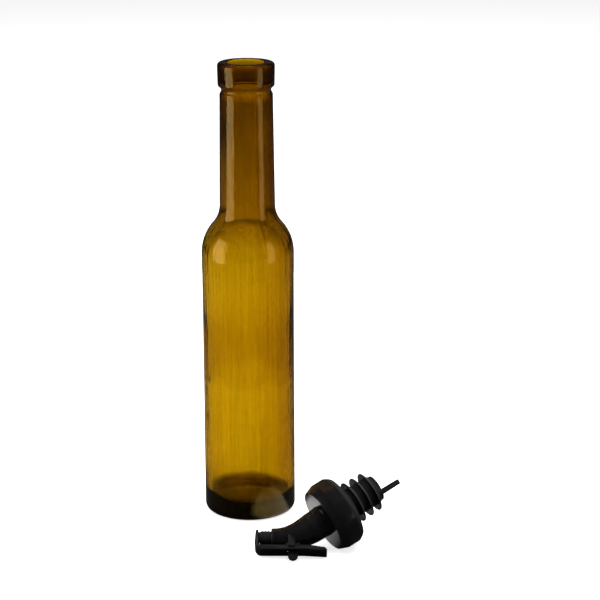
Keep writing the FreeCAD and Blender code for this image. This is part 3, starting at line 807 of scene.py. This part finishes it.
def make_spout():
    """Collar shell and stem, bent spout, raised band, guide ears, pivot lug and its foot, in one piece."""
    inner_r = COLLAR_R - COLLAR_WALL
    shell = rounded([
        (0.0, STEM_BORE_R), (0.0, FACE_R), (BEVEL_LENGTH, COLLAR_R), (COLLAR_LENGTH, COLLAR_R),
        (COLLAR_LENGTH, inner_r), (BEVEL_LENGTH, inner_r), (COLLAR_WALL, FACE_R - COLLAR_WALL),
        (COLLAR_WALL, STEM_R), (STEM_END, STEM_R), (STEM_END, STEM_BORE_R)],
        (0.0, 0.45, 1.6, 0.3, 0.2, 0.6, 0.4, 0.3, 0.2, 0.2))
    collar = turned("collar", shell, COLLAR_STEPS)
    tube = swept("spout", spout_stations(), TUBE_STEPS)
    band_profile = rounded([
        (BAND_LOW, SLEEVE_R - 0.6), (BAND_LOW, SLEEVE_R + BAND_PROUD),
        (BAND_HIGH, SLEEVE_R + BAND_PROUD), (BAND_HIGH, SLEEVE_R - 0.6)], (0, 0.2, 0.2, 0))
    band = turned("band", band_profile, TUBE_STEPS)
    band.transform(Matrix.Translation((NOZZLE_L, 0, 0)))
    ears = []
    for low, high in ((EAR_IN, EAR_OUT), (-EAR_OUT, -EAR_IN)):
        ear = block("ear", (NOZZLE_L + 0.6, low, BAND_LOW + 0.1), (EAR_END, high, BAND_HIGH - 0.1))
        ears.append(softened(ear, EAR_EDGE))
    tip = [(PIVOT_N + LUG_R * math.cos(a), LUG_TIP_L + LUG_R * math.sin(a))
           for a in (math.pi * i / 20 for i in range(21))]
    lug = prism("lug", [(PIVOT_N + LUG_R, LUG_ROOT_L), *tip, (PIVOT_N - LUG_R, LUG_ROOT_L)],
                -LUG_HALF, LUG_HALF)
    lug = softened(lug, LUG_EDGE)
    foot = block("foot", (LUG_ROOT_L, -FOOT_HALF, FOOT_LOW), (FOOT_L, FOOT_HALF, FOOT_HIGH))
    foot = softened(foot, FOOT_EDGE)
    for part in (band, lug, foot, *ears):
        part.transform(NOZZLE_TO_STOPPER)
    body = carved(collar, ("UNION", tube), ("UNION", band), ("UNION", foot), ("UNION", lug),
                  ("UNION", ears[0]), ("UNION", ears[1]))
    piece("stopper_spout", body, ON_STOPPER, GLOSS_BLACK, "pourer", ["spout_body"], crease=28)


def make_nozzle():
    """Ribbed tip of the nozzle, on a spigot inside the spout."""
    profile = rounded([
        (SPIGOT_LOW, TIP_BORE_R), (SPIGOT_LOW, SPIGOT_R), (SLEEVE_END, SPIGOT_R),
        (SLEEVE_END, TIP_R), (TIP_END, TIP_R), (TIP_END, TIP_BORE_R)],
        (0, 0.1, 0, 0.1, 0.6, 0.4))
    barrel = turned("nozzle_barrel", profile, TUBE_STEPS)
    ring = new_object("rib", turned("rib", rounded([
        (0, TIP_R - 0.25), (0, RIB_R), (RIB_LENGTH, RIB_R), (RIB_LENGTH, TIP_R - 0.25)],
        (0, 0.2, 0.2, 0)), TUBE_STEPS))
    ribs = grown("nozzle_ribs", RING_ROW, {
        "Ring": ring, "Count": RIB_COUNT, "First": RIB_FIRST, "Spacing": RIB_SPACING,
        "Shrink": RIB_SHRINK, "Material": SATIN_BLACK})
    bpy.data.objects.remove(ring)
    tip = carved(barrel, ("UNION", ribs))
    tip.transform(Matrix.Translation((NOZZLE_L, 0, 0)))
    piece("stopper_nozzle", tip, ON_NOZZLE, SATIN_BLACK, "pourer", ["nozzle_tip"])


FLANGE_R, FLANGE_END, CONE_R, CONE_END = 17.9, 13.9, 11.0, 16.2
CORE_R, SOFT_GAP, REGISTER_WIDTH, REGISTER_DEPTH = 7.7, 0.1, 2.0, 1.5
FIN_FIRST, FIN_SPACING, FIN_R, FIN_SWEEP, FIN_SHRINK = 19.3, 5.2, 11.4, 1.1, 0.022
FIN_EDGE_THICK, FIN_ROOT_THICK, FIN_COUNT = 0.6, 1.2, 3


def make_sleeve():
    """Soft seal: flange under the collar, cone and three swept fins on a core."""
    bore_r = STEM_R + SOFT_GAP
    register_r = COLLAR_R - COLLAR_WALL - SOFT_GAP
    register_low = COLLAR_LENGTH - REGISTER_DEPTH
    outline = rounded([
        (COLLAR_LENGTH, bore_r), (COLLAR_LENGTH, register_r - REGISTER_WIDTH),
        (register_low, register_r - REGISTER_WIDTH), (register_low, register_r),
        (COLLAR_LENGTH, register_r), (COLLAR_LENGTH, FLANGE_R - 0.25),
        (COLLAR_LENGTH + 1.0, FLANGE_R), (FLANGE_END, FLANGE_R - 0.9),
        (CONE_END, CONE_R), (CONE_END + 0.6, CORE_R), (STEM_END, CORE_R), (STEM_END, bore_r)],
        (0, 0, 0, 0.2, 0, 0.15, 0.5, 0.7, 0.5, 0.5, 0.3, 0))
    sleeve = turned("sleeve", outline, COLLAR_STEPS)
    half, lean = FIN_EDGE_THICK / 2, FIN_SWEEP
    root = FIN_ROOT_THICK / 2
    fin = [(lean - root - 0.45, CORE_R - 0.4), (lean - root - 0.3, CORE_R + 0.02),
           (lean - root, CORE_R + 0.3),
           (lean * 0.35 - half * 1.3, CORE_R + 1.7), (-half, FIN_R - 0.3), (-half * 0.7, FIN_R - 0.08),
           (0.0, FIN_R), (half * 0.7, FIN_R - 0.05), (half, FIN_R - 0.2),
           (lean * 0.35 + half * 1.3, CORE_R + 1.7), (lean + root, CORE_R + 0.3),
           (lean + root + 0.3, CORE_R + 0.02), (lean + root + 0.45, CORE_R - 0.4)]
    ring = new_object("fin", turned("fin", fin, COLLAR_STEPS))
    fins = grown("fins", RING_ROW, {
        "Ring": ring, "Count": FIN_COUNT, "First": FIN_FIRST, "Spacing": FIN_SPACING,
        "Shrink": FIN_SHRINK, "Material": SOFT_BLACK})
    bpy.data.objects.remove(ring)
    body = carved(sleeve, ("UNION", fins))
    piece("stopper_soft_seal", body, ON_STOPPER, SOFT_BLACK, "pourer", ["stopper_sleeve"])


COIL_R, WIRE_R, COIL_LENGTH, COIL_TURNS, COIL_START, SPRING_LEG = 0.95, 0.15, 1.44, 4.0, -3.04, 2.5


def make_spring():
    """Return spring round the lever's pin."""
    coil = grown("stopper_spring", coil_tree(), {
        "Coil radius": COIL_R, "Wire radius": WIRE_R, "Length": COIL_LENGTH, "Turns": COIL_TURNS,
        "Leg": -SPRING_LEG, "Material": STEEL})
    to_pivot = Matrix.Translation((PIVOT_L, COIL_START, PIVOT_N))
    coil.transform(to_pivot @ Matrix.Rotation(-math.pi / 2, 4, "X"))
    piece("stopper_spring", coil, ON_NOZZLE, STEEL, "pourer", ["return_spring"])


# ---------------------------------------------------------------- lever
LEVER_HALF, LEVER_CORE_HALF, CHEEK_IN = 4.7, 4.45, 3.7
RIM_L, LIP_L, FLOOR_L, BOTTOM_L = 15.55, 17.3, 16.95, 17.8
INNER_CORNER_R, NOSE_R, LEVER_EDGE = 1.4, 3.6, 0.16
WALL_IN, WALL_OUT, WALL_OUT_LOW = 33.2, 34.4, 35.0
TONGUE_R, TRAY_REAR, TAB_END, TAB_TOP_L, TAB_BOTTOM_L = 4.3, 9.5, -2.2, 16.95, 18.45
WINDOW_LOW, WINDOW_HIGH, WINDOW_SPRING_SIDE, WINDOW_LUG_SIDE = 13.0, 18.1, -3.4, 1.5


def make_lever():
    """Shallow tray with a proud lip, a front wall with a rounded tongue, a thumb tab and a window."""
    corner = INNER_CORNER_R
    wall_top = NOZZLE_L - TONGUE_R
    inside = [(TAB_END + 1.0, TAB_TOP_L), (TRAY_REAR - 2.0, RIM_L + 0.05),
              *arc(WALL_IN - corner, RIM_L - corner, corner, 90, 0, 6),
              (WALL_IN, wall_top), (WALL_OUT, wall_top)]
    core = inside + [*arc(WALL_OUT_LOW - NOSE_R, BOTTOM_L - NOSE_R, NOSE_R, 0, 90, 10),
                     (TRAY_REAR, BOTTOM_L), (TAB_END + 0.4, TAB_BOTTOM_L), (TAB_END, TAB_BOTTOM_L - 0.5)]
    lip = inside + [*arc(WALL_IN - corner, RIM_L - corner, LIP_L - RIM_L + corner, 0, 90, 8),
                    (TRAY_REAR, LIP_L), (TAB_END + 0.6, TAB_TOP_L + 1.0)]
    tray = prism("tray", core, -LEVER_CORE_HALF, LEVER_CORE_HALF)
    band = prism("lip", lip, -LEVER_HALF, LEVER_HALF)
    cavity = block("cavity", (RIM_L - 2.0, -CHEEK_IN, TRAY_REAR), (FLOOR_L, CHEEK_IN, WALL_IN))
    window = block("window", (FLOOR_L - 1.0, WINDOW_SPRING_SIDE, WINDOW_LOW),
                   (FLOOR_L + 3.0, WINDOW_LUG_SIDE, WINDOW_HIGH))
    corners = block("corners", (wall_top - 1, -2 * TONGUE_R, WALL_IN - 1),
                    (NOZZLE_L, 2 * TONGUE_R, WALL_IN + 3))
    tongue = rod("tongue", TONGUE_R, WALL_IN - 2, WALL_IN + 4, (NOZZLE_L, 0.0))
    corners = carved(corners, ("DIFFERENCE", tongue))
    tray = carved(tray, ("UNION", band), ("DIFFERENCE", cavity), ("DIFFERENCE", window),
                  ("DIFFERENCE", corners))
    tray = softened(tray, LEVER_EDGE)
    piece("lever_tray", tray, ON_NOZZLE, SATIN_BLACK, "lever", ["lever"], crease=40)


RING_ROW = row_tree()
make_spout()
make_nozzle()
make_sleeve()
make_spring()
make_lever()
for node, material in (("end_cap", SATIN_BLACK), ("vent_tube", SATIN_BLACK),
                       ("lever_pin", STEEL), ("closing_pad", SOFT_BLACK)):
    for material_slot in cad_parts[node].material_slots:
        material_slot.material = material


# ---------------------------------------------------------------- floor, light, camera
FLOOR_HALF, FLOOR_Z = 6.0, -0.0002
# The dark floor tone paints shade: on the floor seen in reflections, and as a painted shadow under the bottle
# seen through glass.
FLOOR_TONE, FLOOR_PAINTED_SHADE = (0.9, 0.9, 0.9, 1.0), (0.05, 0.05, 0.05, 1.0)
FLOOR_ROUGH, FLOOR_GLOW, MIRRORED_GLOW = 0.9, 0.75, 0.3
# The patch by the collar is a painted reflection: there, reflection rays see pale, glowing floor.
PATCH_CENTRE, PATCH_IN, PATCH_OUT = (0.030, -0.037, 0.0), 0.023, 0.031
# The shade spread is a painted shadow of the bottle on the floor, seen through the glass.
SHADE_IN, SHADE_OUT, SHADE_DEPTH = 0.026, 0.05, 0.96
SKY_IN_REFLECTIONS = 0.04
CAMERA_PITCH, CAMERA_YAW, CAMERA_ROLL = (math.radians(a) for a in (16.106, 1.6315, -0.1425))
CAMERA_PLACE = (0.0, -0.96845, 0.39675)
CAMERA_LENS, CAMERA_NEAR, CAMERA_FAR = 113.3, 0.05, 50.0


def spread_from(tree, centre, low, high, at_low, at_high):
    """A value that goes smoothly from at_low to at_high as the distance from centre grows."""
    where = tree.nodes.new("ShaderNodeTexCoord")
    away = tree.nodes.new("ShaderNodeVectorMath")
    away.operation = "DISTANCE"
    away.inputs[1].default_value = centre
    level = tree.nodes.new("ShaderNodeMapRange")
    level.interpolation_type = "SMOOTHSTEP"
    for label, value in (("From Min", low), ("From Max", high), ("To Min", at_low), ("To Max", at_high)):
        level.inputs[label].default_value = value
    tree.links.new(where.outputs["Object"], away.inputs[0])
    tree.links.new(away.outputs["Value"], level.inputs["Value"])
    return level.outputs[0]


def make_floor():
    """Pale floor that glows for the camera.

    In reflections it is dark, a painted shade, but for a patch by the collar that glows as a painted
    reflection; through glass it is dark under the bottle, a painted shadow.
    """
    half = FLOOR_HALF
    bm = bmesh.new()
    bm.faces.new([bm.verts.new((x, y, FLOOR_Z))
                  for x, y in ((-half, -half), (half, -half), (half, half), (-half, half))])
    floor = new_object("studio_floor", new_mesh("studio_floor", bm, recalc=False))
    material = bpy.data.materials.new("pale floor")
    material.use_nodes = True
    tree = material.node_tree
    shader = tree.nodes["Principled BSDF"]
    shader.inputs["Roughness"].default_value = FLOOR_ROUGH
    shader.inputs["Specular IOR Level"].default_value = 0.0
    shader.inputs["Emission Color"].default_value = WHITE
    path = tree.nodes.new("ShaderNodeLightPath").outputs
    # Reflection rays outside the patch see the floor dark: painted shade in reflections.
    outside_patch = spread_from(tree, PATCH_CENTRE, PATCH_IN, PATCH_OUT, 0.0, 1.0)
    reflected_painted_shade = shader_math(tree, "MULTIPLY", outside_patch, path["Is Reflection Ray"])
    # Transmission rays near the bottle see the floor dark: a painted shadow under the bottle.
    under = spread_from(tree, (0.0, 0.0, 0.0), SHADE_IN, SHADE_OUT, SHADE_DEPTH, 0.0)
    through = shader_math(tree, "MULTIPLY", under, path["Is Transmission Ray"])
    tone = shader_mix(tree, shader_math(tree, "MAXIMUM", reflected_painted_shade, through), FLOOR_TONE, FLOOR_PAINTED_SHADE)
    # Reflection rays inside the patch see the floor glow: a painted reflection of lit floor.
    painted_reflection_patch = shader_math(tree, "SUBTRACT", path["Is Reflection Ray"], reflected_painted_shade)
    glow = shader_math(tree, "MULTIPLY", painted_reflection_patch, MIRRORED_GLOW)
    glow = shader_math(tree, "ADD", glow, path["Is Camera Ray"])
    glow = shader_math(tree, "MULTIPLY", glow, FLOOR_GLOW)
    tree.links.new(tone, shader.inputs["Base Color"])
    tree.links.new(glow, shader.inputs["Emission Strength"])
    floor.data.materials.append(material)


def make_world():
    """White all round to look at and through glass, and dim as a light and in reflections."""
    world = bpy.data.worlds.new("studio")
    bpy.context.scene.world = world
    world.use_nodes = True
    tree = world.node_tree
    path = tree.nodes.new("ShaderNodeLightPath").outputs
    level = tree.nodes.new("ShaderNodeMapRange")
    level.inputs["To Min"].default_value = SKY_IN_REFLECTIONS
    seen = shader_math(tree, "MAXIMUM", path["Is Camera Ray"], path["Is Transmission Ray"])
    tree.links.new(seen, level.inputs["Value"])
    tree.links.new(level.outputs[0], tree.nodes["Background"].inputs["Strength"])
    tree.nodes["Background"].inputs["Color"].default_value = WHITE


def softbox(name, azimuth, distance, low, width, height, radiance):
    """Upright soft panel at an azimuth in degrees from straight in front, facing the bottle's axis."""
    lamp = bpy.data.lights.new(name, "AREA")
    lamp.shape = "RECTANGLE"
    lamp.size = width
    lamp.size_y = height
    lamp.energy = radiance * math.pi * width * height
    obj = bpy.data.objects.new(name, lamp)
    bpy.context.scene.collection.objects.link(obj)
    a = math.radians(azimuth)
    obj.location = (distance * math.sin(a), -distance * math.cos(a), low + height / 2)
    facing = Vector((obj.location.x, obj.location.y, 0))
    obj.rotation_euler = facing.to_track_quat("Z", "Y").to_euler()
    obj.visible_camera = False
    return obj


def make_lights():
    """A panel on each side, and a wide one overhead that no gloss shows."""
    softbox("left_softbox", azimuth=-75, distance=0.53, low=0.01, width=0.32, height=0.42, radiance=3.4)
    softbox("right_softbox", azimuth=57, distance=0.55, low=0.01, width=0.24, height=0.42, radiance=2.0)
    top = softbox("top_softbox", azimuth=0, distance=0.0001, low=0.0, width=1.6, height=1.6, radiance=4.6)
    top.location = (0.0, 0.0, 1.2)
    top.rotation_euler = (0, 0, 0)
    top.visible_glossy = False


def make_camera():
    """Long lens, looking a little down and to the right of the bottle's axis."""
    pitch, yaw, roll = CAMERA_PITCH, CAMERA_YAW, CAMERA_ROLL
    ahead = Vector((math.sin(yaw) * math.cos(pitch), math.cos(yaw) * math.cos(pitch), -math.sin(pitch)))
    right = Vector((math.cos(yaw), -math.sin(yaw), 0))
    up = right.cross(ahead)
    turned_right = right * math.cos(roll) + up * math.sin(roll)
    turned_up = up * math.cos(roll) - right * math.sin(roll)
    data = bpy.data.cameras.new("camera")
    data.sensor_width = 36.0
    data.lens = CAMERA_LENS
    data.clip_start = CAMERA_NEAR
    data.clip_end = CAMERA_FAR
    camera = bpy.data.objects.new("camera", data)
    bpy.context.scene.collection.objects.link(camera)
    m = Matrix((turned_right, turned_up, -ahead)).transposed().to_4x4()
    m.translation = Vector(CAMERA_PLACE)
    camera.matrix_world = m
    bpy.context.scene.camera = camera


make_floor()
make_world()
make_lights()
make_camera()
bpy.context.scene.view_settings.view_transform = "Standard"
